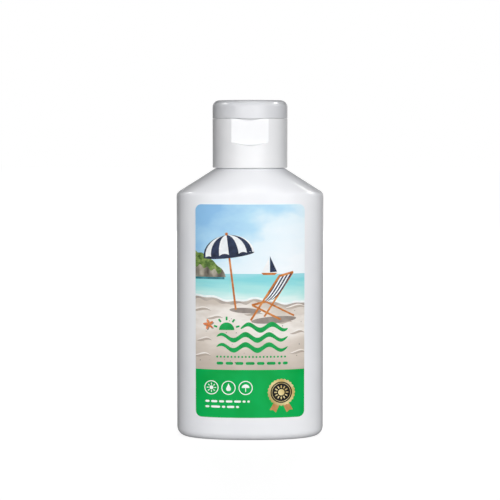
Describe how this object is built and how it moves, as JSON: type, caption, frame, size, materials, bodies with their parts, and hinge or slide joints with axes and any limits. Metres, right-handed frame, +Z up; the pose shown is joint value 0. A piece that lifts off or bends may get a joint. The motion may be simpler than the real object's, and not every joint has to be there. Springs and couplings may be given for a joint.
{
  "type": "sunscreen bottle",
  "caption": "Flat oval squeeze bottle with sloping shoulders, labels front and back, and a flip-top screw cap with a thumb recess; stands upright.",
  "frame": {"origin": "middle of the base on the surface that the bottle stands on", "axes": "+Z up through the cap, -Y out of the front label, +Y towards the lid's hinge, X across the width"},
  "size_m": [0.041, 0.0242, 0.094],
  "materials": {
    "bottle_plastic": "glossy white blow-moulded plastic",
    "front_print": "printed glossy film",
    "back_print": "printed glossy film",
    "cap_plastic": "satin-gloss white moulded plastic",
    "washer_foam": "matt closed-cell foam"
  },
  "bodies": {
    "bottle_body": {"bottle": "bottle_plastic", "front_label": "front_print", "back_label": "back_print"},
    "washer": {"sealing_washer": "washer_foam"},
    "cap": {"cap_base": "cap_plastic", "hinge_web": "cap_plastic", "hinge_strap_left": "cap_plastic", "hinge_strap_right": "cap_plastic"},
    "lid": {"cap_lid": "cap_plastic"}
  },
  "joints": [
    {"name": "cap_lift", "type": "slide", "parent": "bottle_body", "child": "washer", "axis": [0, 0, 1], "range_m": [0, 0.00353]},
    {"name": "cap_turn", "type": "hinge", "parent": "washer", "child": "cap", "pos_m": [0, 0, 0.08], "axis": [0, 0, 1], "range_deg": [0, 400]},
    {"name": "lid_flip", "type": "hinge", "parent": "cap", "child": "lid", "pos_m": [0, 0.01, 0.08893], "axis": [-1, 0, 0], "range_deg": [0, 140], "deforming": ["hinge_web", "hinge_strap_left", "hinge_strap_right"]}
  ],
  "couplings": [
    {"joint": "cap_lift", "follows": "cap_turn", "m_per_rad": 0.00050532}
  ]
}
